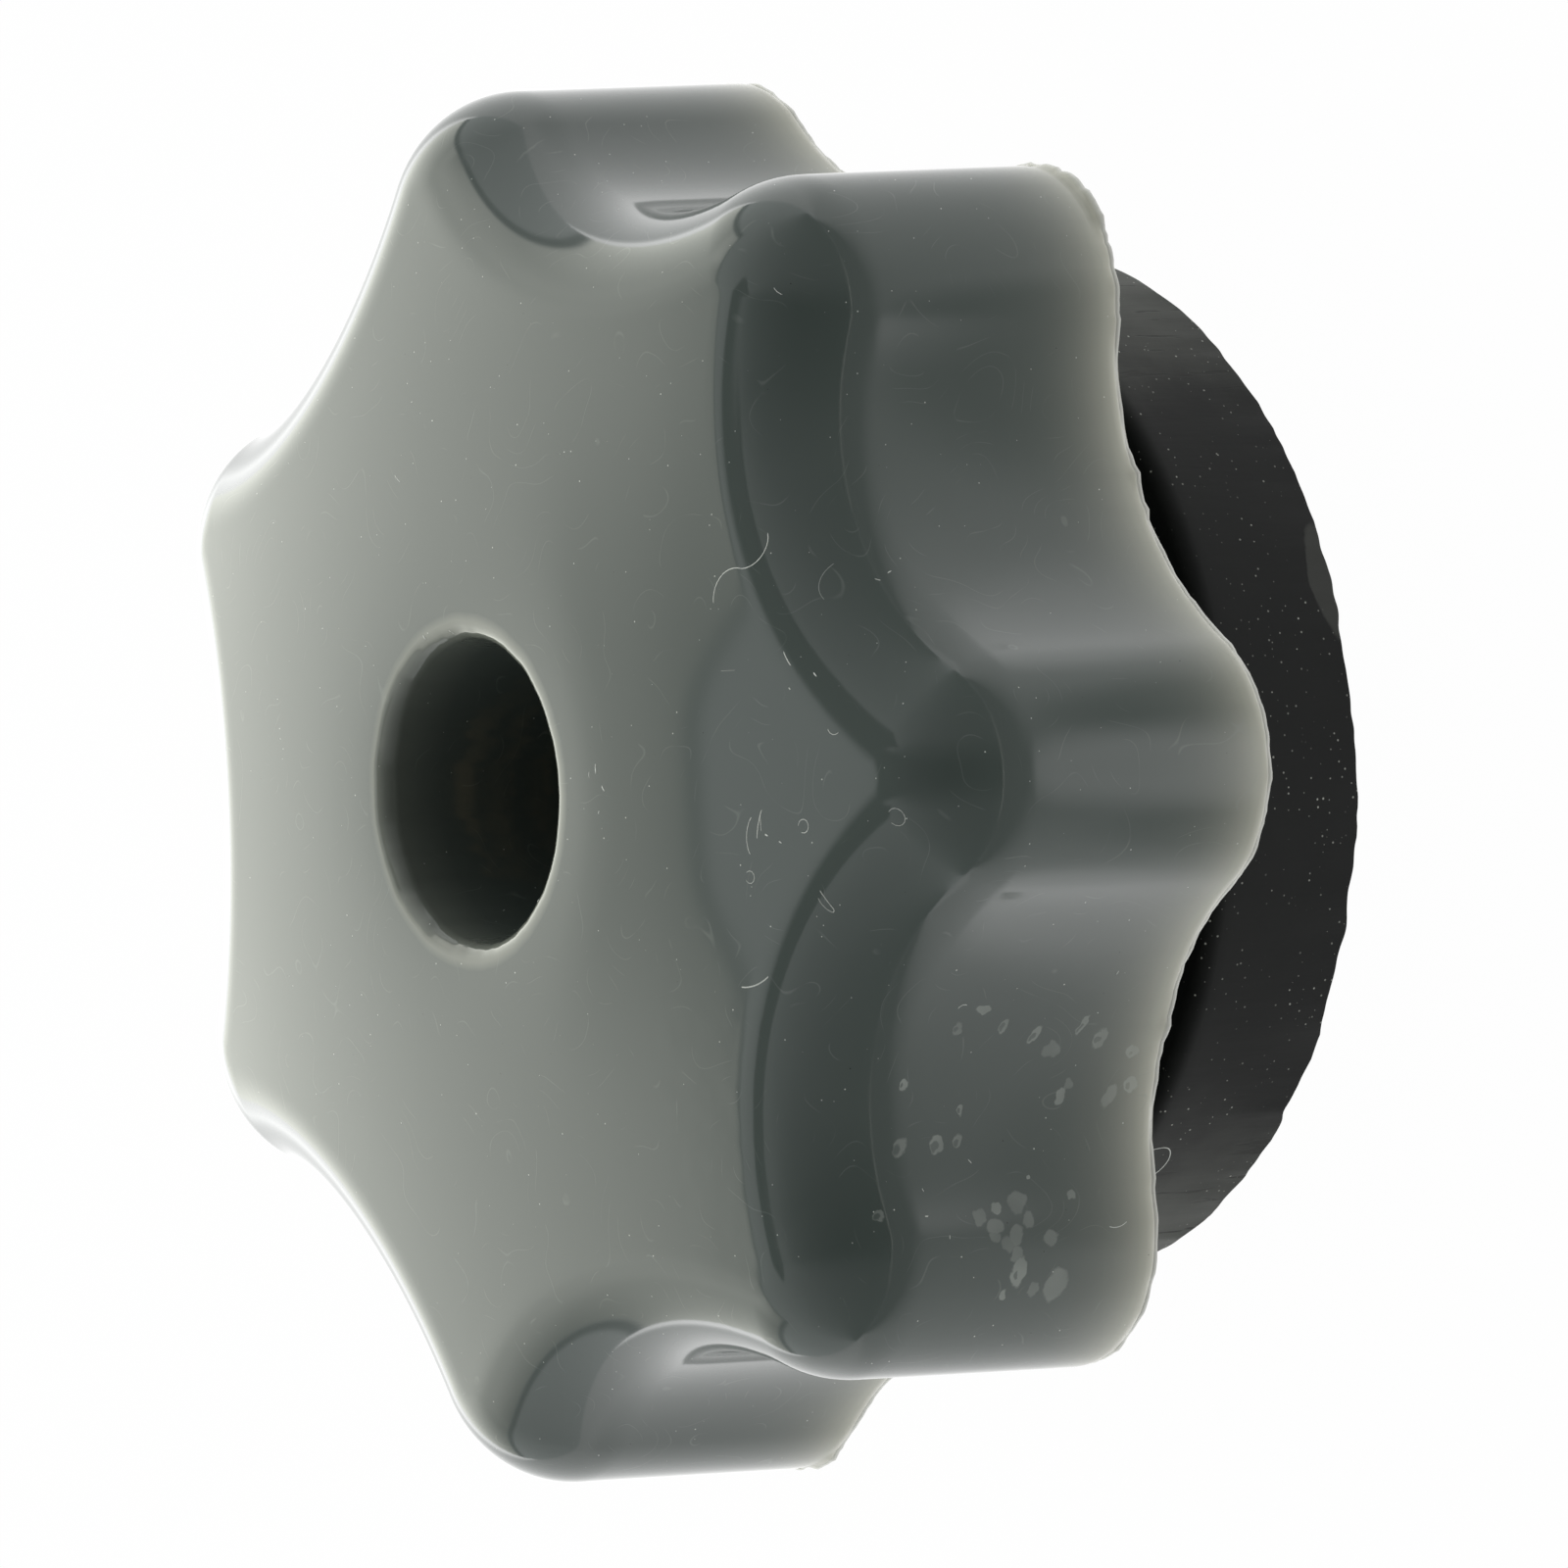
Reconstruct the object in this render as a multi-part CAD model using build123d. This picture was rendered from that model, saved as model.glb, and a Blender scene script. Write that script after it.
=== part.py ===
# Star knob: a seven-lobed moulded plastic grip with a hub behind it, a brass bush
# threaded M8 moulded into the hub, and a rubber washer that sits on the hub.
# Millimetres. +Z runs along the thread axis to the crown, the origin is the centre
# of the bush's mouth, and one lobe points along -Y.
from build123d import *
import os
from math import cos, pi, radians, sin, tan

# Grip
lobe_count = 7
grip_diameter = 40.0         # over the lobe tips, at the widest level
lobe_tip_radius = 3.95       # rounding of a lobe's tip, in plan
valley_reach = 16.4          # from the axis to the floor of a valley between lobes
crown_height = 13.25         # from the rear rim to the top of the crown, on the axis
crown_radius = 77.0          # the front face is part of a sphere
front_fillet = 3.5           # rounding between the crown and the lobed wall
wall_draft = 1.0             # degrees that the wall leans in towards the crown
rear_round_radius = 0.7      # rounding between the wall and the flat back

# Bush, moulded into the hub
thread_diameter = 8.0
thread_pitch = 1.25
bush_across_flats = 12.0
bush_length = 11.0
bush_chamfer = 0.4           # lead-in at both ends of the thread
waist_depth = 0.8            # groove round the bush that the plastic locks into
waist_width = 2.5

# Hub behind the grip
hub_wall = 1.1               # plastic outside the bush's corners
collar_height = 2.0          # holds the washer off the grip's back
collar_step = 2.5            # shoulder round the hub that the washer's face rests on
hub_chamfer = 0.4

# Hole through the crown, for the end of the stud
stud_clearance = 0.2         # round the stud
hole_round = 0.5             # soft edge at the crown

# Washer
washer_diameter = 29.0
washer_thickness = 4.8
washer_proud = 1.0           # it stands this far below the hub, to be squeezed
washer_clearance = 0.1       # round the hub, in its bore
washer_edge_round = 0.5      # on its front edge

# Levels on the axis
washer_bottom = -washer_proud
washer_top = washer_bottom + washer_thickness
rim_level = washer_top + collar_height
crown_level = rim_level + crown_height

hub_diameter = bush_across_flats / cos(radians(30)) + 2 * hub_wall
hole_diameter = thread_diameter + 2 * stud_clearance
minor_diameter = thread_diameter - 1.0825 * thread_pitch


def cylinder(diameter, bottom, top):
    """Upright cylinder on the axis between two levels."""
    base = Circle(diameter / 2)
    return Pos(0, 0, bottom) * extrude(base, top - bottom)


def at(reach, angle):
    """Point in plan, from its reach and its angle in radians."""
    return (reach * cos(angle), reach * sin(angle))


def star_plan(grow):
    """Plan of the grip: tip and valley arcs in turn, each tangent to the next."""
    half_pitch = pi / lobe_count
    tip_radius = lobe_tip_radius + grow
    tip_centre = grip_diameter / 2 - lobe_tip_radius
    valley_floor = valley_reach + grow
    # The valley arc passes its floor and touches the tip arc from outside.
    valley_radius = (
        tip_radius**2 - valley_floor**2 - tip_centre**2
        + 2 * tip_centre * valley_floor * cos(half_pitch)
    ) / (2 * (valley_floor - tip_centre * cos(half_pitch) - tip_radius))
    valley_centre = Vector(*at(valley_floor + valley_radius, half_pitch))
    towards_valley = (valley_centre - Vector(tip_centre, 0)).normalized()
    touch = Vector(tip_centre, 0) + towards_valley * tip_radius
    touch_reach = touch.length
    touch_angle = radians(touch.get_angle(Vector(1, 0)))

    edges = []
    for lobe in range(lobe_count):
        tip = -pi / 2 + 2 * half_pitch * lobe
        valley = tip + half_pitch
        start = at(touch_reach, tip - touch_angle)
        end = at(touch_reach, tip + touch_angle)
        next_start = at(touch_reach, tip + 2 * half_pitch - touch_angle)
        edges.append(ThreePointArc(start, at(tip_centre + tip_radius, tip), end))
        edges.append(ThreePointArc(end, at(valley_floor, valley), next_start))
    return make_face(edges)


def grip_body():
    """Lobed body with its crown, both roundings and a flat back."""
    plan = star_plan(rear_round_radius * tan(radians(wall_draft)))
    body = extrude(Pos(0, 0, rim_level) * plan, crown_height, taper=wall_draft)
    body &= Pos(0, 0, crown_level - crown_radius) * Sphere(crown_radius)
    crown = body.faces().sort_by(Axis.Z)[-1]
    body = fillet(crown.edges(), front_fillet)
    back = body.faces().sort_by(Axis.Z)[0]
    return fillet(back.edges(), rear_round_radius)


def bush_blank():
    """Outside of the bush: a hexagon bar with a round waist."""
    bar = extrude(RegularPolygon(bush_across_flats / 2, 6, major_radius=False), bush_length)
    middle = bush_length / 2
    low, high = middle - waist_width / 2, middle + waist_width / 2
    corners = bush_across_flats / cos(radians(30))
    waist = cylinder(corners + 1, low, high)
    waist -= cylinder(bush_across_flats - 2 * waist_depth, low, high)
    return bar - waist


def star_knob():
    """Grip and hub in one moulding, with the bush's seat and the hole to the crown."""
    hub = cylinder(hub_diameter, 0, rim_level + 1)
    hub = chamfer(hub.edges().group_by(Axis.Z)[0], hub_chamfer)
    collar = cylinder(hub_diameter + 2 * collar_step, washer_top, rim_level + 1)
    knob = grip_body() + hub + collar
    knob -= cylinder(hole_diameter, bush_length - 1, crown_level)
    knob = fillet(knob.edges().filter_by(GeomType.CIRCLE).sort_by(Axis.Z)[-1], hole_round)
    return knob - bush_blank()


def threaded_bush():
    """Brass bush, bored to the thread's minor diameter."""
    bush = bush_blank() - cylinder(minor_diameter, 0, bush_length)
    bore_edges = bush.edges().filter_by(GeomType.CIRCLE).sort_by(SortBy.RADIUS)[:2]
    return chamfer(bore_edges, bush_chamfer)


def rubber_washer():
    """Thick flat washer cut from sheet."""
    bore_diameter = hub_diameter + 2 * washer_clearance
    washer = cylinder(washer_diameter, washer_bottom, washer_top)
    washer = fillet(washer.edges().group_by(Axis.Z)[-1], washer_edge_round)
    return washer - cylinder(bore_diameter, washer_bottom, washer_top)


os.makedirs("parts", exist_ok=True)
pieces = {
    "star_knob": star_knob,
    "threaded_bush": threaded_bush,
    "rubber_washer": rubber_washer,
}
for name, make in pieces.items():
    export_step(make(), f"parts/{name}.step")
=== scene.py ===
# Star knob: the moulded grip, its brass bush and the rubber washer behind it,
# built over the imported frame. Lengths are in millimetres until a mesh is made.
import math

import bpy
import numpy as np
from mathutils import Matrix, Vector, noise
from mathutils.bvhtree import BVHTree


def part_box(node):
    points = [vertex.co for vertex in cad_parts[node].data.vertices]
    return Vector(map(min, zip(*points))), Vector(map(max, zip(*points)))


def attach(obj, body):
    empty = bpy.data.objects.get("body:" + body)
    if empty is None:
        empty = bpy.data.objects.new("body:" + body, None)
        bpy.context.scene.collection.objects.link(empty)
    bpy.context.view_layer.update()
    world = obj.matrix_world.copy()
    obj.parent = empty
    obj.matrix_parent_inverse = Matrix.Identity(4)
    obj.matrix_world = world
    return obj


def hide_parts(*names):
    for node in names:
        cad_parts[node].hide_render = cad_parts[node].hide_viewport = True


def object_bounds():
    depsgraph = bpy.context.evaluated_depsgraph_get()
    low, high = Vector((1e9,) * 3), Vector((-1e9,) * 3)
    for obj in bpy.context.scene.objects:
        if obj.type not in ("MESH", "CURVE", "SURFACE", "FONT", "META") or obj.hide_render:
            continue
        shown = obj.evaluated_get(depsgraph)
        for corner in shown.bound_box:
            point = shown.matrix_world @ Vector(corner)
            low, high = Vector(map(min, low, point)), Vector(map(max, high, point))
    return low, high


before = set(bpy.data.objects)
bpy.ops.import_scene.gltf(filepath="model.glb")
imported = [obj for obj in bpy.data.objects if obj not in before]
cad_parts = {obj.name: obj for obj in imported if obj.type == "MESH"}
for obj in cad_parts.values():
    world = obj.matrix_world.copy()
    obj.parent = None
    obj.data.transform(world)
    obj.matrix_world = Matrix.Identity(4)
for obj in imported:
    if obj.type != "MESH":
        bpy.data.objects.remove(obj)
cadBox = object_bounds()
scene = bpy.context.scene
scene.view_settings.view_transform = "Standard"
knobBox, bushBox, washerBox = (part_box(n) for n in ("star_knob", "threaded_bush", "rubber_washer"))
print("frame loaded")


# --- meshes from rings of points ---
def turned(reach, height, angles):
    # one round ring; reach and height may change from point to point
    reach, height = np.broadcast_to(reach, angles.shape), np.broadcast_to(height, angles.shape)
    return np.stack([reach * np.cos(angles), reach * np.sin(angles), height], axis=1)


def between(first, last, steps, ends=(False, False)):
    # rings on straight lines from one ring to another
    shares = np.linspace(0, 1, steps + 2)
    shares = shares[(0 if ends[0] else 1):(None if ends[1] else -1)]
    return [first + (last - first) * s for s in shares]


def skinFaces(rings):
    # skins the rings in turn and joins the last one to the first
    count, total = len(rings[0]), len(rings)
    column = np.arange(count)
    beside = (column + 1) % count
    faces = []
    for r in range(total):
        here, there = r * count, ((r + 1) % total) * count
        faces.append(np.stack([here + column, here + beside, there + beside, there + column], axis=1))
    return np.concatenate(faces).tolist()


def traceMark(start, heading, arcs, stride=0.1):
    # spots in a plane along joined arcs, each with a length and the degrees it turns by
    spots = [Vector(start)]
    for length, bend in arcs:
        steps = max(3, round(length / stride))
        for k in range(steps):
            turn = math.radians(heading + bend * (k + 0.5) / steps)
            spots.append(spots[-1] + Vector((math.cos(turn), math.sin(turn))) * (length / steps))
        heading += bend
    return spots


def layMark(tree, onTop, radius, spots, sides=5):
    # a slender tube with closed ends, laid on a skin: onTop as seen from above, otherwise from -Y
    far = 30
    spine, lifts = [], []
    for a, b in spots:
        origin, way = ((a, b, far), (0, 0, -1)) if onTop else ((a, -far, b), (0, 1, 0))
        place, facing = tree.ray_cast(Vector(origin), Vector(way))[:2]
        spine.append(place + facing * radius * 0.7)
        lifts.append(facing)
    points = []
    for i, (place, lift) in enumerate(zip(spine, lifts)):
        along = (spine[min(i + 1, len(spine) - 1)] - spine[max(i - 1, 0)]).normalized()
        aside = along.cross(lift)
        girth = radius * (0.35 if i in (0, len(spine) - 1) else 1.0)
        for k in range(sides):
            turn = 2 * math.pi * k / sides
            points.append(place + (aside * math.cos(turn) + lift * math.sin(turn)) * girth)
    faces = [[r * sides + k, r * sides + (k + 1) % sides,
              (r + 1) * sides + (k + 1) % sides, (r + 1) * sides + k]
             for r in range(len(spine) - 1) for k in range(sides)]
    faces += [list(range(sides))[::-1], [len(points) - sides + k for k in range(sides)]]
    return [list(p) for p in points], faces


def ringMesh(name, rings, material, sharpAngle, masks=None, marks=()):
    # masks are kept for the material; marks are (onTop, start, heading, arcs, radius, shade)
    points, faces = np.concatenate(rings).tolist(), skinFaces(rings)
    lint = [0.0] * len(points)
    tree = BVHTree.FromPolygons(points, faces) if marks else None
    for onTop, start, heading, arcs, radius, shade in marks:
        extra, extraFaces = layMark(tree, onTop, radius, traceMark(start, heading, arcs))
        faces += [[len(points) + k for k in face] for face in extraFaces]
        points += extra
        lint += [shade] * len(extra)
    masks = {key: list(v) + [0.0] * (len(points) - len(v)) for key, v in (masks or {}).items()}
    masks["lint"] = lint
    mesh = bpy.data.meshes.new(name)
    mesh.from_pydata((np.array(points) * 0.001).tolist(), [], faces)
    mesh.polygons.foreach_set("use_smooth", [True] * len(mesh.polygons))
    mesh.set_sharp_from_angle(angle=math.radians(sharpAngle))
    for mask, values in masks.items():
        mesh.attributes.new(mask, "FLOAT", "POINT").data.foreach_set("value", values)
    mesh.materials.append(material)
    piece = bpy.data.objects.new(name, mesh)
    scene.collection.objects.link(piece)
    return piece


def roughLine(angles, size, seed, detail=3):
    # even noise round a ring, -1 to 1; size is how many bumps go round
    line = np.zeros(len(angles))
    for octave in range(detail):
        reach = size * 2 ** octave / 6.2832
        for i, a in enumerate(angles):
            spot = Vector((math.cos(a) * reach, math.sin(a) * reach, seed + 7.3 * octave))
            line[i] += noise.noise(spot) / 1.6 ** octave
    return line


# --- shader nodes as expressions ---
class Wire:
    # a socket that can stand in a sum
    def __init__(self, desk, socket):
        self.desk, self.socket = desk, socket

    def out(self, name):
        return Wire(self.desk, self.socket.node.outputs[name])

    def calc(self, operation, first, second):
        return self.desk.add("ShaderNodeMath", {"operation": operation}, {0: first, 1: second})

    def __add__(self, other):
        return self.calc("ADD", self, other)

    def __radd__(self, other):
        return self.calc("ADD", other, self)

    def __sub__(self, other):
        return self.calc("SUBTRACT", self, other)

    def __rsub__(self, other):
        return self.calc("SUBTRACT", other, self)

    def __mul__(self, other):
        return self.calc("MULTIPLY", self, other)

    def __rmul__(self, other):
        return self.calc("MULTIPLY", other, self)

    def __truediv__(self, other):
        return self.calc("DIVIDE", self, other)

    def __lt__(self, other):
        return self.calc("LESS_THAN", self, other)


class Desk:
    # adds nodes to one material or world
    def __init__(self, tree):
        self.tree = tree
        self.tree.nodes.clear()

    def add(self, kind, settings=None, inputs=None, output=0):
        node = self.tree.nodes.new(kind)
        for key, value in (settings or {}).items():
            if key == "stops":
                stops = node.color_ramp.elements
                for stop, (place, shade) in zip((stops[0], stops[-1]), (value[0], value[-1])):
                    stop.position, stop.color = place, shade
                for place, shade in value[1:-1]:
                    stops.new(place).color = shade
            else:
                setattr(node, key, value)
        for key, value in (inputs or {}).items():
            if isinstance(value, Wire):
                self.tree.links.new(value.socket, node.inputs[key])
            else:
                node.inputs[key].default_value = value
        return Wire(self, node.outputs[output]) if node.outputs else node

    def mixColour(self, factor, first, second):
        return self.add("ShaderNodeMix", {"data_type": "RGBA"}, {0: factor, 6: first, 7: second}, 2)

    def step(self, value, low, high, start=0.0, end=1.0):
        # smooth step of a value from start to end
        return self.add("ShaderNodeMapRange", {"interpolation_type": "SMOOTHSTEP"},
                        {0: value, 1: low, 2: high, 3: start, 4: end})

    def grey(self, value, stops):
        # a curve through grey stops
        return self.add("ShaderNodeValToRGB", {"stops": [(p, (g, g, g, 1)) for p, g in stops]}, {0: value})


def inMillimetres(desk):
    return desk.add("ShaderNodeVectorMath", {"operation": "SCALE"}, {
        0: desk.add("ShaderNodeTexCoord", {}, {}, "Object"), "Scale": 1000.0})


def specks(desk, place, perMillimetre, size, share):
    # scattered grains, and a chance that picks some of them; share is how many of the cells hold one
    cell = desk.add("ShaderNodeTexVoronoi", {}, {"Vector": place, "Scale": perMillimetre})
    chance = desk.add("ShaderNodeSeparateXYZ", {}, {0: cell.out("Color")})
    reach = desk.step(chance, 1 - share, 1.0, 0.0, size * perMillimetre)
    return 1 - desk.step(cell, reach * 0.5, reach + 0.001), chance.out("Y")


def newMaterial(name):
    material = bpy.data.materials.new(name)
    material.use_nodes = True
    return material, Desk(material.node_tree)


def rgb(red, green, blue):
    return (red, green, blue, 1.0)


# --- camera ---
cameraSetup = {
    "target": (0, 0, 11.7), "elevation": 34.38, "azimuth": 0.47, "roll": -2.758,
    "distance": 376.2, "lens": 310.4, "sensor": 36, "aside": 2.909, "above": -0.075,
}


def placeCamera(setup):
    side, rise, turn = (math.radians(setup[k]) for k in ("azimuth", "elevation", "roll"))
    back = Vector((math.sin(side) * math.cos(rise), -math.cos(side) * math.cos(rise), math.sin(rise)))
    level = (-back).cross(Vector((0, 0, 1))).normalized()
    upright = level.cross(-back)
    # the knob lies on its side in the frame: its crown points left
    right = -upright * math.cos(turn) + level * math.sin(turn)
    above = level * math.cos(turn) + upright * math.sin(turn)
    target = Vector(setup["target"])
    place = target + back * setup["distance"]
    aim = target + right * setup["aside"] + above * setup["above"]
    back = (place - aim).normalized()
    right = above.cross(back).normalized()
    above = back.cross(right)
    camera = bpy.data.objects.new("camera", bpy.data.cameras.new("camera"))
    scene.collection.objects.link(camera)
    camera.data.sensor_width, camera.data.lens = setup["sensor"], setup["lens"]
    camera.data.clip_start, camera.data.clip_end = 0.01, 20
    attitude = Matrix((right, above, back)).transposed().to_4x4()
    camera.matrix_world = Matrix.Translation(place * 0.001) @ attitude
    scene.camera = camera


placeCamera(cameraSetup)
print("camera placed")

# --- studio: a soft bright wall behind, a dim room in front, a pale floor ---
studio = {
    "wallTint": rgb(1.0, 1.01, 0.93), "roomTint": rgb(0.97, 1.0, 1.0), "wallLight": 3.2, "roomLight": 1.3,
    # curves along the lean: 0 at the horizon behind, 0.5 overhead, 1 at the horizon in front
    "wallCurve": [(0.0, 1.12), (0.05, 1.0), (0.12, 0.92), (0.2, 0.79), (0.23, 0.73), (0.252, 0.66),
                  (0.276, 0.5)],
    "sidesCurve": [(0.0, 0.88), (0.25, 0.86), (0.33, 0.82), (0.44, 0.64), (0.5, 0.52), (0.58, 0.43),
                   (0.64, 0.35), (0.72, 0.28), (0.83, 0.22), (0.92, 0.18), (1.0, 0.18)],
    "openingCurve": [(0.278, 0.98), (0.345, 0.86), (0.364, 0.1), (0.42, 0.14), (0.5, 0.15), (0.6, 0.09),
                     (0.68, 0.04), (0.75, 0.02), (1.0, 0.02)],
    "armCentre": [(0.36, 0.2), (0.372, 0.22), (0.42, 0.33), (0.444, 0.34), (0.46, 0.3), (0.47, 0.28)],
    "armWidth": [(0.364, 0.0), (0.366, 0.1), (0.42, 0.12), (0.444, 0.1), (0.462, 0.04), (0.475, 0.0)],
    # the wall from one side (0) to the other (1); its top edge and its sides, then its frame's
    "wallAcross": [(0.15, 0.33), (0.25, 0.66), (0.34, 0.97), (0.65, 1.0), (0.75, 0.82), (0.85, 0.7)],
    "wallTop": (0.271, 0.274), "wallSide": (0.685, 0.715),
    "frameTop": (0.278, 0.281), "frameSide": (0.73, 0.76), "frameDark": 0.6,
    "floorColour": rgb(0.88, 0.88, 0.88), "floorGlow": 0.985, "floorLight": 0.35, "floorSize": 6.0,
    # painted light and shade on the paper, as gloss sees it: lighter patches are painted glints, darker ones
    # a painted shadow of the knob: place, size, change
    "glossGlintAndShadowPatches": [((0, -0.037, -0.001), 0.014, 1.0), ((0.021, -0.013, -0.001), 0.01, 0.4),
                     ((-0.021, -0.013, -0.001), 0.01, 0.55), ((0.012, -0.029, -0.001), 0.01, -0.45),
                     ((-0.012, -0.027, -0.001), 0.008, -0.3)],
}


def buildWorld(setup):
    world = bpy.data.worlds.new("studio")
    scene.world = world
    world.use_nodes = True
    world.cycles.sampling_method = "MANUAL"
    world.cycles.sample_map_resolution = 256
    desk = Desk(world.node_tree)
    parts = desk.add("ShaderNodeSeparateXYZ", {}, {0: desk.add("ShaderNodeTexCoord", {}, {}, "Generated")})
    aside = desk.add("ShaderNodeMath", {"operation": "ABSOLUTE"}, {0: parts - 0.01})
    turn = desk.add("ShaderNodeMath", {"operation": "ARCTAN2"}, {0: parts.out("Z"), 1: parts.out("Y")})
    lean = turn / math.pi
    # the bright wall: weaker in the middle of its top, stronger in its upper corners
    wall = desk.grey(lean, setup["wallCurve"])
    wall = wall * (1 - (1 - desk.step(aside, 0.04, 0.2)) * desk.step(lean, 0.205, 0.235) * 0.28)
    wall = wall + desk.step(aside, 0.36, 0.5) * desk.step(lean, 0.17, 0.24) * 0.3
    wall = wall * desk.grey(parts * 0.5 + 0.5, setup["wallAcross"])
    # its top edge stands higher on both sides of the middle
    rise = desk.step(parts, 0.02, 0.17, 0.0, 0.042) * (1 - desk.step(parts, 0.2, 0.3))
    rise = rise + desk.step(0 - parts, 0.05, 0.13, 0.0, 0.012) * (1 - desk.step(0 - parts, 0.2, 0.3))
    height = lean - rise
    inside = (1 - desk.step(aside, *setup["wallSide"])) * (1 - desk.step(height, *setup["wallTop"]))
    frameLine = (1 - desk.step(aside, *setup["frameSide"])) * (1 - desk.step(height, *setup["frameTop"]))
    frameLine = frameLine * (1 - inside)
    # the room: its sides, and its middle with a dark opening overhead that widens towards the front
    sides, middle = desk.grey(lean, setup["sidesCurve"]), desk.grey(lean, setup["openingCurve"])
    ahead = desk.step(lean, 0.42, 0.62)
    spread = desk.step(aside, 0.18 - ahead * 0.12, 0.25 + ahead * 0.3)
    # two dark arms that run out from the opening to both sides
    along = lean + (parts < 0.0) * (lean - 0.36) * 0.75
    centre, halfWidth = desk.grey(along, setup["armCentre"]), desk.grey(along, setup["armWidth"])
    offset = desk.add("ShaderNodeMath", {"operation": "ABSOLUTE"}, {0: aside - centre})
    spread = spread * desk.step(offset, halfWidth * 0.6, halfWidth + 0.005)
    room = (middle + (sides - middle) * spread) * (1 - frameLine * setup["frameDark"])
    room = desk.add("ShaderNodeBackground", {}, {
        "Color": setup["roomTint"], "Strength": room * setup["roomLight"]})
    wall = desk.add("ShaderNodeBackground", {}, {
        "Color": setup["wallTint"], "Strength": wall * setup["wallLight"]})
    light = desk.add("ShaderNodeMixShader", {}, {0: inside, 1: room, 2: wall})
    white = desk.add("ShaderNodeBackground", {}, {"Color": rgb(1, 1, 1), "Strength": 1.0})
    path = desk.add("ShaderNodeLightPath", {}, {}, "Is Camera Ray")
    seen = desk.add("ShaderNodeMath", {"operation": "MAXIMUM"}, {0: path, 1: path.out("Is Transmission Ray")})
    both = desk.add("ShaderNodeMixShader", {}, {0: seen, 1: light, 2: white})
    desk.add("ShaderNodeOutputWorld", {}, {"Surface": both})


def buildFloor(setup):
    material, desk = newMaterial("floorPaper")
    paper = desk.add("ShaderNodeBsdfPrincipled", {}, {
        "Base Color": setup["floorColour"], "Roughness": 0.7, "Specular IOR Level": 0.2})
    path = desk.add("ShaderNodeLightPath", {}, {}, "Is Camera Ray")
    # what gloss sees of the paper: bright towards the wall, dim in front
    place = desk.add("ShaderNodeTexCoord", {}, {}, "Object")
    spot = desk.add("ShaderNodeSeparateXYZ", {}, {0: place})
    across = desk.add("ShaderNodeMath", {"operation": "ABSOLUTE"}, {0: spot})
    depth = spot.out("Y") + across * 0.15
    mirrored = desk.step(depth, -0.06, -0.008, 0.3, 1.15) + desk.step(depth, 0.005, 0.03, 0.0, 0.35)
    mirrored = mirrored + desk.step(spot.out("Y") - across * 0.7, 0.035, 0.13, 0.0, 1.9)
    # painted glints and a painted shadow of the knob in the glow that gloss sees on the paper
    for centre, size, change in setup["glossGlintAndShadowPatches"]:
        away = desk.add("ShaderNodeVectorMath", {"operation": "DISTANCE"}, {0: place, 1: centre}, "Value")
        mirrored = mirrored + (1 - desk.step(away, size * 0.3, size)) * change
    plainGlow = desk.add("ShaderNodeEmission", {}, {
        "Color": rgb(1, 1, 1), "Strength": 1 + path.out("Is Diffuse Ray") * 0.6})
    mirrorGlow = desk.add("ShaderNodeEmission", {}, {"Color": rgb(1, 1, 1), "Strength": mirrored})
    glow = desk.add("ShaderNodeMixShader", {}, {0: path.out("Is Glossy Ray"), 1: plainGlow, 2: mirrorGlow})
    seen = path + path.out("Is Glossy Ray") + path.out("Is Transmission Ray")
    seen = desk.add("ShaderNodeMath", {"operation": "MINIMUM"}, {0: seen, 1: 1.0})
    seen = seen * (setup["floorGlow"] - setup["floorLight"]) + setup["floorLight"]
    both = desk.add("ShaderNodeMixShader", {}, {0: seen, 1: paper, 2: glow})
    desk.add("ShaderNodeOutputMaterial", {}, {"Surface": both})
    half, level = setup["floorSize"] / 2, cadBox[0].z
    mesh = bpy.data.meshes.new("floor")
    corners = [(-half, -half, level), (half, -half, level), (half, half, level), (-half, half, level)]
    mesh.from_pydata(corners, [], [(0, 1, 2, 3)])
    mesh.materials.append(material)
    floor = bpy.data.objects.new("floor", mesh)
    scene.collection.objects.link(floor)


buildWorld(studio)
buildFloor(studio)
print("studio built")


# --- grip ---
gripShape = {
    "lobes": 7, "reach": 20.0, "tipRadius": 3.95, "valleyReach": 16.4,
    "rimLevel": 5.8, "crownLevel": 19.05, "crownRadius": 77.0,
    "frontFillet": 3.5, "draft": 1.0, "rearRound": 0.7,
    "holeRadius": 4.2, "holeRough": 0.035, "holeRound": 0.5, "sinkDepth": 0.14, "sinkWidth": 1.5,
    "collarRadius": 10.53, "hubRadius": 8.03, "hubChamfer": 0.4, "seatFlats": 12.0, "seatTop": 11.0,
    "seatGap": 0.024,
    # flash left by the mould, and its taller stretches as (degrees, width, height)
    "flash": 0.08, "flashThickness": 0.05, "flareHeight": 0.22,
    "flashTears": [(-24.0, 7.0, 0.2), (-38.0, 9.0, 0.16), (-63.0, 3.0, 0.1), (-116.0, 4.0, 0.1),
                   (172.0, 6.0, 0.12)],
    # painted glow: how far the paler colour that stands in for light coming through the plastic reaches near
    # the flash and near the hole's mouth
    "paintedGlowReach": 0.9, "paintedMouthGlow": 0.24, "mouthReach": 1.3,
    "tipSteps": 44, "valleySteps": 38, "filletSteps": 22, "sharpAngle": 38,
}


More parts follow.
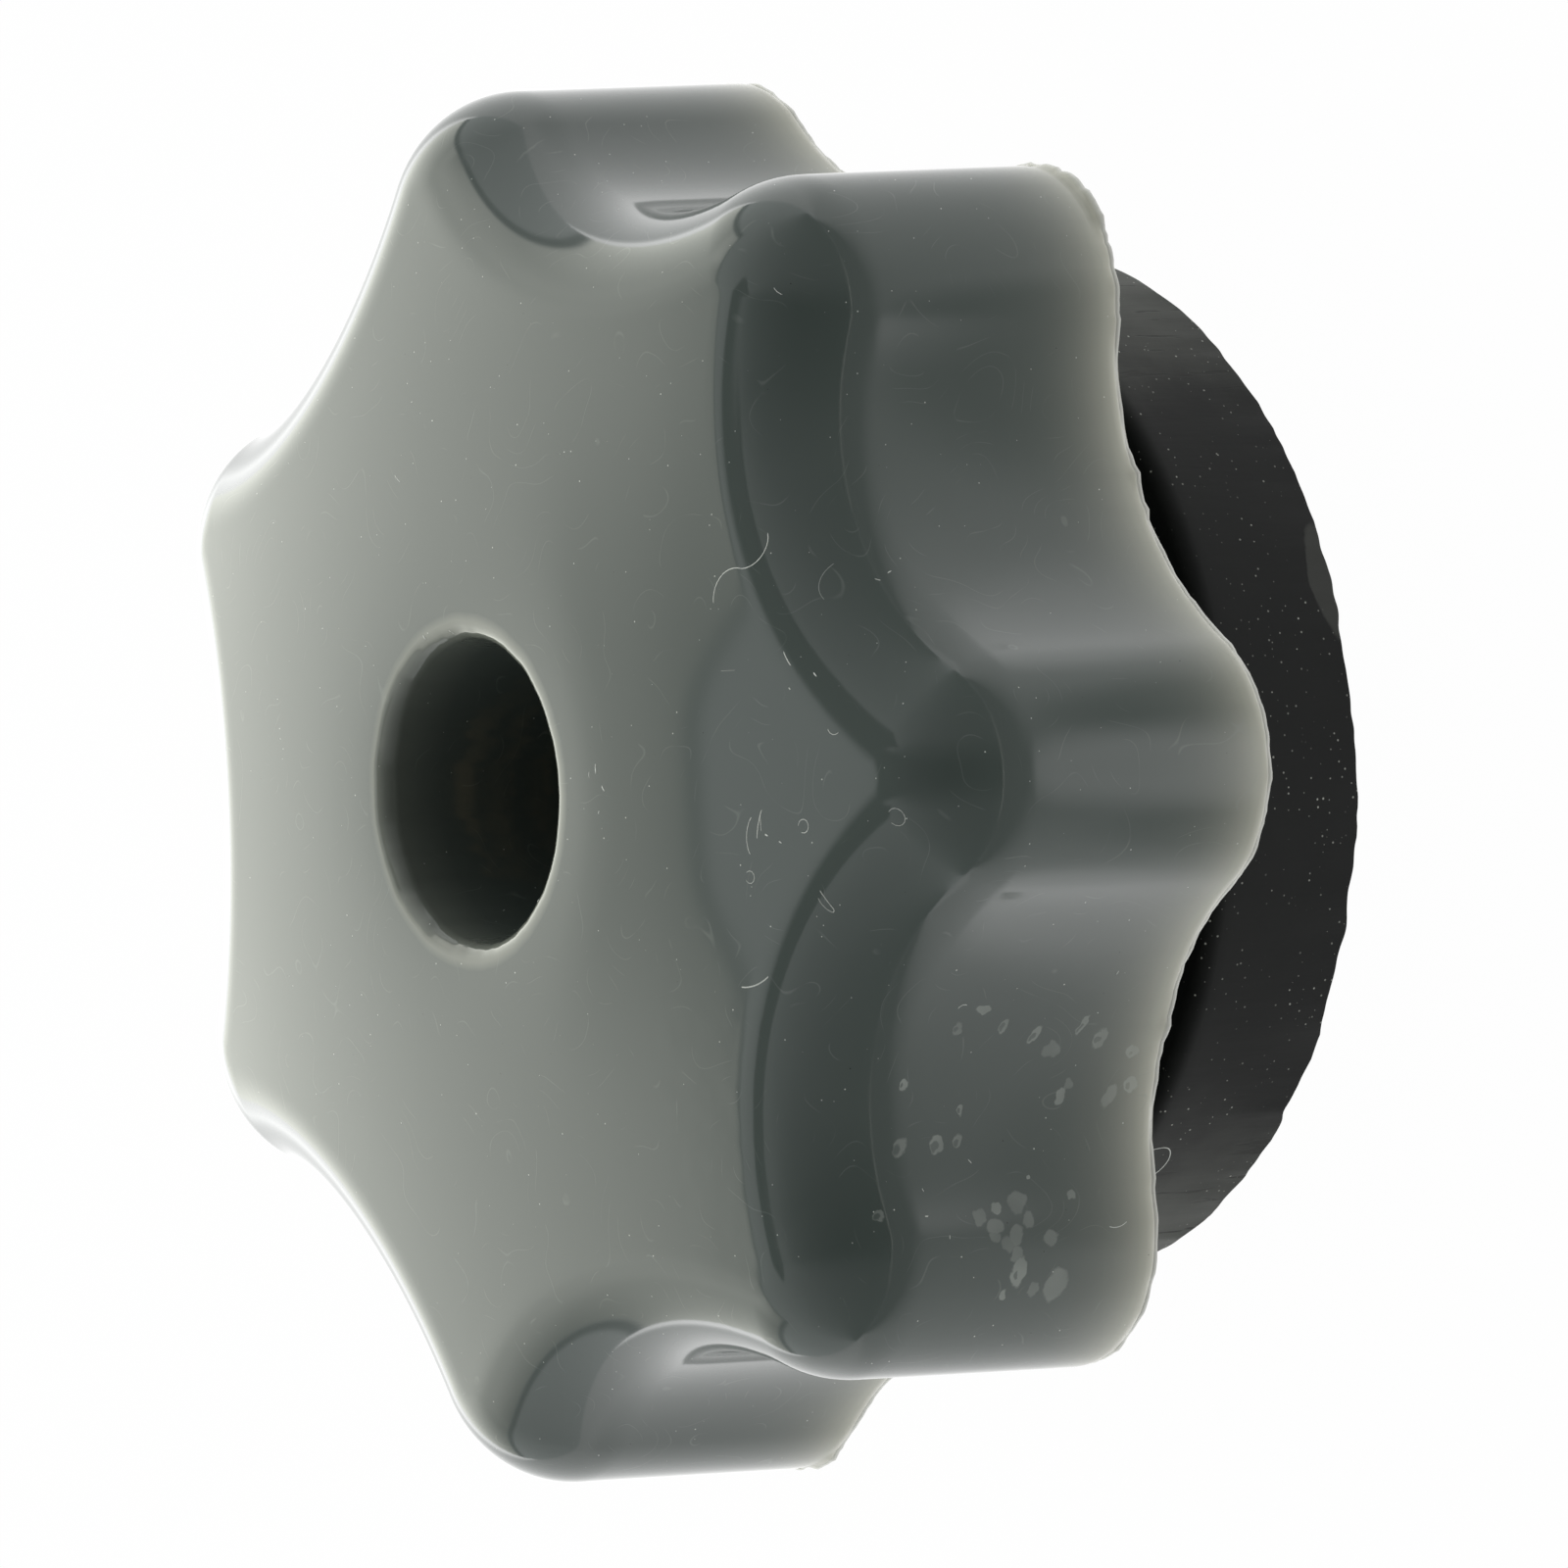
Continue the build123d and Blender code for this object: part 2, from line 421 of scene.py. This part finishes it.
def starPlan(shape):
    # points of the lobed wall and the directions it faces, starting with the lobe at -Y
    half, tipR = math.pi / shape["lobes"], shape["tipRadius"]
    centre, floorReach = shape["reach"] - tipR, shape["valleyReach"]
    valleyR = (tipR ** 2 - floorReach ** 2 - centre ** 2 + 2 * centre * floorReach * math.cos(half)) / (
        2 * (floorReach - centre * math.cos(half) - tipR))
    valleyX, valleyY = ((floorReach + valleyR) * f(half) for f in (math.cos, math.sin))
    swing = math.atan2(valleyY, valleyX - centre)
    points, facing = [], []
    for lobe in range(shape["lobes"]):
        turn = -math.pi / 2 + 2 * half * lobe
        spin = np.array([[math.cos(turn), math.sin(turn)], [-math.sin(turn), math.cos(turn)]])
        tip = np.linspace(-swing, swing, shape["tipSteps"], endpoint=False)
        out = np.stack([np.cos(tip), np.sin(tip)], axis=1)
        points.append((out * tipR + (centre, 0)) @ spin)
        facing.append(out @ spin)
        swung = math.pi + swing, math.pi + 2 * half - swing
        valley = np.linspace(*swung, shape["valleySteps"], endpoint=False)
        out = np.stack([np.cos(valley), np.sin(valley)], axis=1)
        points.append((out * valleyR + (valleyX, valleyY)) @ spin)
        facing.append(-out @ spin)
    return np.concatenate(points), np.concatenate(facing)


def raised(plan, height):
    return np.column_stack([plan, np.broadcast_to(height, len(plan))])


def gripRings(shape):
    plan, facing = starPlan(shape)
    angles = np.arctan2(plan[:, 1], plan[:, 0])
    lean = math.radians(shape["draft"])
    rear, front = shape["rearRound"], shape["frontFillet"]
    roundLevel = shape["rimLevel"] + rear
    ballCentre = np.array([0, 0, shape["crownLevel"] - shape["crownRadius"]])

    # front fillet: a ball that rolls between the wall and the crown
    height = np.full(len(plan), shape["crownLevel"] - front)
    for attempt in range(12):
        spine = plan - facing * (front / math.cos(lean) + (height - roundLevel) * math.tan(lean))[:, None]
        run = (shape["crownRadius"] - front) ** 2 - (spine ** 2).sum(1)
        height = ballCentre[2] + np.sqrt(run)
    spine = np.column_stack([spine, height])
    wallWay = np.column_stack([facing * math.cos(lean), np.full(len(plan), math.sin(lean))])
    crownWay = (spine - ballCentre) / (shape["crownRadius"] - front)
    arc = np.arccos((wallWay * crownWay).sum(1))[:, None]
    fillet = [spine + front * (np.sin(arc * (1 - s)) * crownWay + np.sin(arc * s) * wallWay) / np.sin(arc)
              for s in np.linspace(0, 1, shape["filletSteps"])]

    def crownAt(ring):
        reach = ring[:, 0] ** 2 + ring[:, 1] ** 2
        sink = shape["sinkDepth"] * np.exp(-(np.sqrt(reach) - shape["holeRadius"]) / shape["sinkWidth"])
        level = ballCentre[2] + np.sqrt(shape["crownRadius"] ** 2 - reach) - sink
        return np.column_stack([ring[:, :2], level])

    # hole: straight wall, then a soft edge that runs out into the crown
    edge = shape["holeRound"]
    hole = shape["holeRadius"] + shape["holeRough"] * roughLine(angles, 30, 5.5, 2)
    lip = crownAt(turned(hole + edge, 0, angles))
    rings = [turned(hole, z, angles) for z in np.linspace(shape["seatTop"], lip[0, 2] - edge, 6)]
    for a in np.linspace(0, math.pi / 2, 9)[1:]:
        rings.append(turned(hole + edge * (1 - math.cos(a)), lip[:, 2] - edge * (1 - math.sin(a)), angles))
    holeRings = len(rings)
    rings += [crownAt(turned(hole + edge + w, 0, angles)) for w in (0.25, 0.55, 0.95, 1.45, 2.1)]
    rings += [crownAt(r) for r in between(rings[-1], fillet[0], 24)]
    rings += fillet

    # wall, then the rear rounding, with the flash part of the way round it
    rearSpine = raised(plan - facing * rear / math.cos(lean), roundLevel)

    def rearAt(degrees):
        t = math.radians(degrees)
        return rearSpine + rear * np.column_stack([facing * math.cos(t), np.full(len(plan), -math.sin(t))])

    middle = fillet[-1] + (rearAt(-shape["draft"]) - fillet[-1]) * 0.62
    rings += between(fillet[-1], middle, 6) + between(middle, rearAt(-shape["draft"]), 9, (True, True))
    ragged = 0.75 + 0.8 * roughLine(angles, 70, 3.1) + 0.6 * roughLine(angles, 230, 8.4)
    height = shape["flash"] * np.clip(ragged, 0.1, 1.7)
    for middle, width, extra in shape["flashTears"]:
        gap = (np.degrees(angles) - middle + 180) % 360 - 180
        height += extra * np.exp(-(gap / width) ** 2) * np.clip(0.4 + ragged * 0.6, 0.2, 1.4)
    finWay = np.column_stack([facing, np.full(len(plan), -0.35)])
    tip = rearAt(31) + finWay * height[:, None]
    # tall stretches flare out of the rounding instead of standing on it
    flare = np.clip(height / shape["flareHeight"], 0, 0.9)[:, None]
    rings.append(rearAt(6))
    for share, degrees in ((0.25, 13), (0.5, 20), (0.75, 26)):
        rings.append(rearAt(degrees) * (1 - flare) + (rearAt(6) * (1 - share) + tip * share) * flare)
    thick = np.array([0, 0, shape["flashThickness"] / 2])
    rings += [(rings[-1] + tip) / 2 + thick, tip + thick * 0.6]
    rings += [tip - thick * 0.6, (rearAt(33) + tip) / 2 - thick]
    rings += [rearAt(d) for d in (36, 50, 64, 77, 90)]

    # back, collar, hub and the seat of the bush
    washerTop, hubFoot, hubRadius = washerBox[1].z * 1000, knobBox[0].z * 1000, shape["hubRadius"]
    collarFoot = turned(shape["collarRadius"], shape["rimLevel"], angles)
    rings += between(rings[-1], collarFoot, 5, (False, True))
    rings += [turned(shape["collarRadius"], washerTop, angles), turned(hubRadius, washerTop, angles)]
    rings += [turned(hubRadius, hubFoot + shape["hubChamfer"], angles)]
    rings += [turned(hubRadius - shape["hubChamfer"], hubFoot, angles)]
    sixth = (angles + 2 * math.pi) % (math.pi / 3) - math.pi / 6
    seat = (shape["seatFlats"] / 2 + shape["seatGap"]) / np.cos(sixth)
    rings += [turned(seat, hubFoot, angles), turned(seat, shape["seatTop"], angles)]
    # painted glow: how near each point is to the flash, or to the mouth among the hole's own rings; the
    # material lightens the colour there to stand in for light coming through the plastic
    thin = [np.exp(-np.linalg.norm(ring - tip, axis=1) / shape["paintedGlowReach"]) for ring in rings]
    for ring, value in zip(rings[:holeRings], thin):
        value += shape["paintedMouthGlow"] * np.exp((ring[:, 2] - lip[:, 2]) / shape["mouthReach"])
    return rings, {"thin": np.concatenate(thin)}


gripWear = {
    "plastic": (rgb(0.077, 0.096, 0.088), rgb(0.089, 0.108, 0.099)), "gloss": 0.08,
    # painted glow: the first two colours on the next line stand in for light coming through the plastic near
    # the flash, the hole's mouth and the flash's tip
    "paintedGlowColour": rgb(0.7, 0.69, 0.58), "edge": rgb(0.9, 0.9, 0.86), "hairlines": rgb(0.3, 0.33, 0.3),
    "chalk": rgb(0.45, 0.48, 0.44), "grains": (rgb(0.75, 0.77, 0.72), rgb(0.02, 0.02, 0.02)),
    "lint": rgb(0.85, 0.87, 0.82),
    # dents in the wall of the lobe at -X -Y: x, z, half length, half width, slant, hollow, strength
    "dentsBelowX": -5.8, "dentsBelowY": -8.0,
    "dents": [
        (-6.4, 12.4, 0.17, 0.27, 0.0, 0.0, 1.0), (-6.9, 13.1, 0.22, 0.16, 0.5, 0.5, 0.6),
        (-6.9, 11.6, 0.27, 0.17, 0.5, 0.5, 0.8), (-7.2, 10.5, 0.32, 0.14, 0.5, 0.5, 0.8),
        (-7.0, 9.0, 0.32, 0.12, 0.5, 0.45, 0.7), (-7.4, 8.3, 0.36, 0.2, 0.6, 0.4, 0.8),
        (-7.8, 7.1, 0.2, 0.24, 0.0, 0.3, 0.8), (-7.6, 9.8, 0.22, 0.34, 0.0, 0.0, 0.45),
        (-8.7, 7.0, 0.24, 0.24, 0.0, 0.3, 0.8), (-9.0, 7.7, 0.42, 0.2, 0.5, 0.0, 0.55),
        (-8.9, 9.3, 0.26, 0.2, 0.4, 0.0, 0.75), (-8.6, 9.1, 0.2, 0.14, 0.4, 0.0, 0.4),
        (-8.3, 14.5, 0.21, 0.14, 0.4, 0.4, 1.0), (-9.1, 12.6, 0.17, 0.12, 0.2, 0.5, 0.8),
        (-10.0, 14.5, 0.34, 0.25, 0.3, 0.6, 0.7), (-10.0, 13.3, 0.26, 0.23, 0.0, 0.55, 0.9),
        (-9.9, 12.6, 0.22, 0.15, 0.0, 0.5, 0.7), (-11.8, 15.1, 0.16, 0.16, 0.0, 0.5, 0.7),
        (-11.8, 11.4, 0.16, 0.20, 0.0, 0.0, 1.0), (-11.7, 10.7, 0.33, 0.34, 0.0, 0.0, 0.45),
        (-12.2, 10.4, 0.26, 0.20, 0.0, 0.0, 0.45), (-12.0, 12.0, 0.26, 0.22, 0.0, 0.0, 0.5),
        (-12.3, 11.5, 0.26, 0.33, 0.0, 0.0, 0.6), (-12.6, 10.8, 0.36, 0.25, 0.3, 0.0, 0.6),
        (-12.6, 11.5, 0.16, 0.20, 0.0, 0.0, 0.5), (-12.8, 11.1, 0.26, 0.28, 0.0, 0.0, 0.5),
        (-13.1, 10.8, 0.26, 0.22, 0.4, 0.0, 0.6), (-13.6, 10.7, 0.44, 0.28, 0.2, 0.3, 0.95),
        (-14.2, 11.1, 0.18, 0.15, 0.4, 0.0, 0.9), (-14.1, 10.1, 0.21, 0.18, 0.0, 0.0, 0.5),
        (-14.0, 9.4, 0.55, 0.40, 0.3, 0.0, 0.6), (-12.7, 9.7, 0.26, 0.28, 0.0, 0.0, 0.5),
        (-11.6, 8.9, 0.15, 0.16, 0.0, 0.0, 0.6), (-11.0, 10.3, 0.06, 0.06, 0.0, 0.0, 0.9),
    ],
    # lint and hard scratches on the skin: seen from above or not, where it starts in that view,
    # its heading in degrees, its arcs as (length, turn), its radius and its shade
    "marks": [
        (True, (6.7, -13.0), 205, [(1.5, -125), (1.6, 110)], 0.024, 1.0),
        (True, (3.5, -13.9), 205, [(0.6, 20)], 0.03, 0.9),
        (True, (5.8, -14.7), 140, [(1.2, 95)], 0.02, 0.3),
        (True, (13.3, -12.4), 200, [(0.45, 50)], 0.02, 0.9),
        (True, (8.9, 3.5), 220, [(0.5, 30)], 0.02, 0.8),
        (True, (2.9, -14.9), 225, [(0.3, 0)], 0.035, 1.0),
        (True, (2.5, -14.1), 225, [(0.15, 0)], 0.03, 0.9),
        (True, (1.4, -15.5), 180, [(0.6, 150)], 0.02, 0.7),
        (True, (-5.5, -11.6), 262, [(1.25, 45)], 0.04, 0.7),
        (True, (3.0, -11.5), 270, [(0.7, 0)], 0.02, 0.2),
        (True, (-0.7, -13.0), 150, [(0.95, 25)], 0.025, 0.8),
        (True, (-0.8, -12.9), 180, [(0.6, 0)], 0.02, 0.7),
        (True, (-0.9, -12.6), 135, [(1.2, 75)], 0.02, 0.8),
        (True, (-1.4, -13.0), 243, [(0.2, 0)], 0.04, 1.0),
        (True, (-1.6, -13.5), 243, [(0.2, 0)], 0.03, 0.9),
        (True, (-1.3, -14.3), 20, [(1.1, -340)], 0.02, 0.8),
        (True, (-1.0, -17.4), 340, [(1.3, -320)], 0.02, 0.6),
        (True, (-2.9, -14.8), 207, [(0.65, 0), (0.15, -150), (0.55, -50)], 0.03, 0.5),
        (True, (-2.5, -12.2), 340, [(1.0, -340)], 0.02, 0.6),
        (True, (0.7, -6.3), 180, [(0.4, 0)], 0.04, 1.0),
        (True, (0.1, -6.5), 214, [(0.35, 0)], 0.04, 1.0),
        (True, (0.5, -6.0), 180, [(0.3, 0)], 0.03, 0.5),
        (True, (-0.6, -6.4), 153, [(0.2, 0)], 0.03, 0.7),
        (True, (4.5, 0.7), 236, [(0.35, 0)], 0.03, 1.0),
        (True, (4.4, 1.9), 225, [(0.3, 0)], 0.05, 0.7),
        (True, (-3.0, -3.2), 117, [(0.2, 0)], 0.06, 0.8),
        (False, (-12.5, 7.8), 245, [(0.75, 70)], 0.02, 0.8),
        (False, (-6.4, 13.3), 350, [(0.45, -130)], 0.025, 0.8),
        (False, (-10.4, 12.3), 225, [(0.3, 0)], 0.02, 0.9),
        (False, (-12.4, 13.0), 180, [(0.2, 0)], 0.02, 0.9),
        (False, (-11.1, 13.8), 207, [(0.2, 0)], 0.02, 0.8),
        (False, (-11.9, 13.8), 270, [(0.2, 0)], 0.03, 0.8),
        (False, (-5.7, 8.4), 333, [(0.2, 0)], 0.04, 0.6),
        (True, (5.3, -15.4), 243, [(0.2, 0)], 0.03, 0.8),
        (True, (5.5, -15.5), 180, [(0.1, 0)], 0.03, 0.8),
    ],
}


def dentMask(desk, place, dents):
    swirl = desk.add("ShaderNodeTexNoise", {}, {"Vector": place, "Scale": 3.0, "Detail": 2.0}, "Color")
    offset = desk.add("ShaderNodeVectorMath", {"operation": "MULTIPLY_ADD"}, {
        0: swirl, 1: (0.3, 0.3, 0.3), 2: (-0.15, -0.15, -0.15)})
    ragged = desk.add("ShaderNodeVectorMath", {"operation": "ADD"}, {0: place, 1: offset})
    deepest = 0.0
    for x, z, length, width, slant, hollow, strength in dents:
        # each is an ellipse in X and Z, and its height along Y doesn't matter
        local = desk.add("ShaderNodeMapping", {"vector_type": "TEXTURE"}, {
            0: ragged, "Location": (x, 0, z), "Rotation": (0, slant, 0), "Scale": (length, 1000, width)})
        away = desk.add("ShaderNodeVectorMath", {"operation": "LENGTH"}, {0: local}, "Value")
        mark = 1 - desk.step(away, 0.75, 1.0)
        if hollow:
            # only the rim of a hollow one is chalky
            pit = desk.add("ShaderNodeVectorMath", {"operation": "DISTANCE"}, {
                0: local, 1: (-0.2, 0, 0.25)}, "Value")
            mark = mark * desk.step(pit, hollow * 0.6, hollow * 1.1, 0.25, 1.0)
        deepest = desk.add("ShaderNodeMath", {"operation": "MAXIMUM"}, {0: deepest, 1: mark * strength})
    return deepest


def plasticMaterial(wear):
    material, desk = newMaterial("gripPlastic")
    place = inMillimetres(desk)
    cloud = desk.add("ShaderNodeTexNoise", {}, {"Vector": place, "Scale": 0.16, "Detail": 2.0})
    colour = desk.mixColour(cloud, *wear["plastic"])
    thin = desk.add("ShaderNodeAttribute", {"attribute_name": "thin"}, {}, "Fac")
    # painted glow: a paler, warmer colour near the flash and the hole's mouth stands in for light coming
    # through the plastic
    colour = desk.mixColour(thin * 0.9, colour, wear["paintedGlowColour"])
    # painted glow: a near-white colour at the flash's tip stands in for light shining through the fin
    colour = desk.mixColour(desk.step(thin, 0.8, 1.0, 0.0, 0.8), colour, wear["edge"])
    # hairlines are the level lines of a slow noise, broken up by a faster one
    ripple = desk.add("ShaderNodeTexNoise", {}, {"Vector": place, "Scale": 0.9, "Detail": 1.0})
    drift = desk.add("ShaderNodeTexNoise", {}, {"Vector": place, "Scale": 0.3, "Detail": 1.0})
    level = desk.add("ShaderNodeMath", {"operation": "PINGPONG"}, {0: drift, 1: 0.04})
    hairline = (1 - desk.step(level, 0.0, 0.003)) * desk.step(ripple, 0.5, 0.64)
    colour = desk.mixColour(hairline * 0.22, colour, wear["hairlines"])
    # a few of the grains are dark
    grains, chance = specks(desk, place, 3.6, 0.026, 0.45)
    colour = desk.mixColour(grains, colour, desk.mixColour(chance < 0.12, *wear["grains"]))

    plain = desk.add("ShaderNodeBsdfPrincipled", {}, {
        "Base Color": colour, "Roughness": wear["gloss"], "IOR": 1.5})
    # the dented skin is a shader of its own, so that it is worked out on one lobe only
    dents = dentMask(desk, place, wear["dents"])
    chalk = dents * desk.step(ripple, 0.3, 0.6, 0.7, 1.0)
    bump = desk.add("ShaderNodeBump", {}, {
        "Strength": 0.25, "Distance": 0.00002, "Height": ripple - dents * 0.5})
    dented = desk.add("ShaderNodeBsdfPrincipled", {}, {
        "Base Color": desk.mixColour(chalk * 0.5, colour, wear["chalk"]),
        "Roughness": wear["gloss"] + dents * 0.3, "IOR": 1.5, "Normal": bump})
    spot = desk.add("ShaderNodeSeparateXYZ", {}, {0: place})
    onLobe = (spot < wear["dentsBelowX"]) * (spot.out("Y") < wear["dentsBelowY"])
    skin = desk.add("ShaderNodeMixShader", {}, {0: onLobe, 1: plain, 2: dented})
    lint = desk.add("ShaderNodeAttribute", {"attribute_name": "lint"}, {}, "Fac")
    fibre = desk.add("ShaderNodeBsdfPrincipled", {}, {"Base Color": wear["lint"], "Roughness": 0.8})
    skin = desk.add("ShaderNodeMixShader", {}, {0: lint, 1: skin, 2: fibre})
    desk.add("ShaderNodeOutputMaterial", {}, {"Surface": skin})
    return material


gripSkin, gripMasks = gripRings(gripShape)
grip = ringMesh("grip", gripSkin, plasticMaterial(gripWear), gripShape["sharpAngle"], gripMasks,
                gripWear["marks"])
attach(grip, "root")
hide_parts("star_knob")
print("grip built", len(grip.data.polygons))


# --- bush ---
bushShape = {
    "flats": 12.0, "cornerCut": (0.6, 0.25), "major": 4.0, "pitch": 1.25, "mouth": 4.05,
    "steps": 144, "ringsPerPitch": 14, "sharpAngle": 30,
    "brass": (rgb(0.2, 0.14, 0.065), rgb(0.32, 0.23, 0.11)), "roughness": (0.28, 0.42),
}


def bushRings(shape):
    angles = np.linspace(0, 2 * math.pi, shape["steps"], endpoint=False)
    low, high = bushBox[0].z * 1000, bushBox[1].z * 1000
    major, pitch = shape["major"], shape["pitch"]
    minor = major - 0.5413 * pitch
    sixth = angles % (math.pi / 3) - math.pi / 6
    hexagon = shape["flats"] / 2 / np.cos(sixth)
    cutIn, cutDown = shape["cornerCut"]
    corner = shape["flats"] / 2 / math.cos(math.pi / 6)
    trimmed = np.minimum(hexagon, corner - cutIn)
    rings = []
    # bore, from the rear up: a flat of an eighth of the pitch on the crests, 60 degrees between flanks
    for z in np.arange(low, high + 0.001, pitch / shape["ringsPerPitch"]):
        turn = ((z - low) / pitch - angles / (2 * math.pi)) % 1.0
        groove = np.clip((0.5 - np.abs(turn - 0.5) - 0.125) / 0.3125, 0, 1)
        # both ends widen to the mouth at 45 degrees
        mouth = shape["mouth"] - min(z - low, high - z)
        rings.append(turned(np.maximum(minor + (major - minor) * groove, mouth), z, angles))
    rings += [turned(trimmed, high, angles), turned(hexagon, high - cutDown, angles)]
    rings += [turned(hexagon, low + cutDown, angles), turned(trimmed, low, angles)]
    return rings


def brassMaterial(shape):
    material, desk = newMaterial("bushBrass")
    place = inMillimetres(desk)
    cloud = desk.add("ShaderNodeTexNoise", {}, {"Vector": place, "Scale": 0.7, "Detail": 5.0})
    skin = desk.add("ShaderNodeBsdfPrincipled", {}, {
        "Base Color": desk.mixColour(cloud, *shape["brass"]), "Metallic": 1.0,
        "Roughness": desk.step(cloud, 0.3, 0.7, *shape["roughness"])})
    desk.add("ShaderNodeOutputMaterial", {}, {"Surface": skin})
    return material


bush = ringMesh("bush", bushRings(bushShape), brassMaterial(bushShape), bushShape["sharpAngle"])
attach(bush, "root")
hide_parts("threaded_bush")
print("bush built", len(bush.data.polygons))


# --- washer ---
washerShape = {
    "bore": 8.13, "middle": 11.0, "edgeRound": 0.5, "edgeRough": 0.28, "edgeLoss": 0.35,
    "steps": 900, "sharpAngle": 50,
    # one fibre that sticks out from under the grip, written like the grip's marks
    "marks": [(False, (-10.9, 3.6), 300, [(0.9, -30), (1.1, -150), (0.7, -15)], 0.03, 1.0)],
    # painted sheen: the lighter second colour on the next line stands in for light grazing both ends along X
    "rubber": (rgb(0.006, 0.0068, 0.0065), rgb(0.0115, 0.0122, 0.0115)), "paintedSheen": rgb(0.08, 0.084, 0.076),
    "cuts": rgb(0.008, 0.008, 0.008), "dust": rgb(0.55, 0.56, 0.51), "scraped": rgb(0.07, 0.072, 0.066),
    "lint": rgb(0.8, 0.82, 0.78),
    # the scraped patch on the rear edge: its centre, how it is squeezed, and its two radii
    "scrapeCentre": (2.9, -13.6, -1.6), "scrapeSqueeze": (0.6, 1.0, 2.0), "scrapeSize": (1.6, 1.75),
}


def washerRings(shape):
    angles = np.linspace(0, 2 * math.pi, shape["steps"], endpoint=False)
    low, high = washerBox[0].z * 1000, washerBox[1].z * 1000
    reach = washerBox[1].x * 1000
    bore, middle, edge = shape["bore"], shape["middle"], shape["edgeRound"]
    rings = [turned(bore, z, angles) for z in (low, low + 0.2, high - 0.2, high)]
    rings += [turned(r, high, angles) for r in (bore + 0.3, middle, reach - edge)]
    for a in np.linspace(0, math.pi / 2, 6)[1:]:
        rings.append(turned(reach - edge * (1 - math.sin(a)), high - edge * (1 - math.cos(a)), angles))
    # the rear edge was cut unevenly
    ragged = shape["edgeRough"] * (roughLine(angles, 40, 2.2, 3) + 0.3 * roughLine(angles, 14, 6.1, 1))
    wallTop, wallFoot = high - edge, low + np.clip(0.1 + ragged, 0, shape["edgeLoss"])
    for s in np.linspace(0, 1, 16)[1:]:
        rings.append(turned(reach + ragged * 0.4 * s ** 3, wallTop + (wallFoot - wallTop) * s, angles))
    rings.append(turned(reach - 0.25 - np.abs(ragged), low + 0.02, angles))
    rings += [turned(r, low, angles) for r in (reach - 0.8, middle, bore + 0.3)]
    return rings


def rubberMaterial(shape):
    material, desk = newMaterial("washerRubber")
    place = inMillimetres(desk)
    spot = desk.add("ShaderNodeSeparateXYZ", {}, {0: place})
    cloud = desk.add("ShaderNodeTexNoise", {}, {"Vector": place, "Scale": 0.5, "Detail": 6.0})
    colour = desk.mixColour(cloud, *shape["rubber"])
    # the two ends along X are lightened with painted sheen that stands in for light grazing the rubber, and
    # carry fine cuts that run along the axis
    across = desk.add("ShaderNodeMath", {"operation": "ABSOLUTE"}, {0: spot})
    sheenAndCutEnds = desk.step(across + cloud * 3.0, 10.5, 15.5)
    stretched = desk.add("ShaderNodeVectorMath", {"operation": "MULTIPLY"}, {0: place, 1: (1.0, 1.0, 0.15)})
    streak = desk.add("ShaderNodeTexNoise", {}, {"Vector": stretched, "Scale": 3.2, "Detail": 3.0})
    cuts = desk.step(streak, 0.6, 0.68) * sheenAndCutEnds
    # painted sheen: both ends along X are lightened to stand in for light grazing the rubber
    colour = desk.mixColour(sheenAndCutEnds, colour, shape["paintedSheen"])
    colour = desk.mixColour(cuts * 0.7, colour, shape["cuts"])
    # grains of dust, in drifts
    drift = desk.add("ShaderNodeTexNoise", {}, {"Vector": place, "Scale": 0.35, "Detail": 2.0})
    grains, chance = specks(desk, place, 5.0, 0.04, 0.9)
    dust = grains * desk.step(drift, 0.36, 0.56) * desk.step(chance, 0.0, 1.0, 0.4, 1.0)
    colour = desk.mixColour(dust, colour, shape["dust"])
    squeezed = desk.add("ShaderNodeVectorMath", {"operation": "MULTIPLY"}, {
        0: place, 1: shape["scrapeSqueeze"]})
    scrape = desk.add("ShaderNodeVectorMath", {"operation": "DISTANCE"}, {
        0: squeezed, 1: shape["scrapeCentre"]}, "Value")
    scraped = 1 - desk.step(scrape + cloud, *shape["scrapeSize"])
    colour = desk.mixColour(scraped * 0.8, colour, shape["scraped"])
    bump = desk.add("ShaderNodeBump", {}, {
        "Strength": 0.6, "Distance": 0.00003, "Height": cloud + streak * 0.6 - cuts})
    lint = desk.add("ShaderNodeAttribute", {"attribute_name": "lint"}, {}, "Fac")
    skin = desk.add("ShaderNodeBsdfPrincipled", {}, {
        "Base Color": desk.mixColour(lint, colour, shape["lint"]), "Roughness": 0.62,
        "Specular IOR Level": 0.22, "Normal": bump})
    desk.add("ShaderNodeOutputMaterial", {}, {"Surface": skin})
    return material


washer = ringMesh("washer", washerRings(washerShape), rubberMaterial(washerShape), washerShape["sharpAngle"],
                  marks=washerShape["marks"])
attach(washer, "root")
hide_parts("rubber_washer")
print("washer built", len(washer.data.polygons))
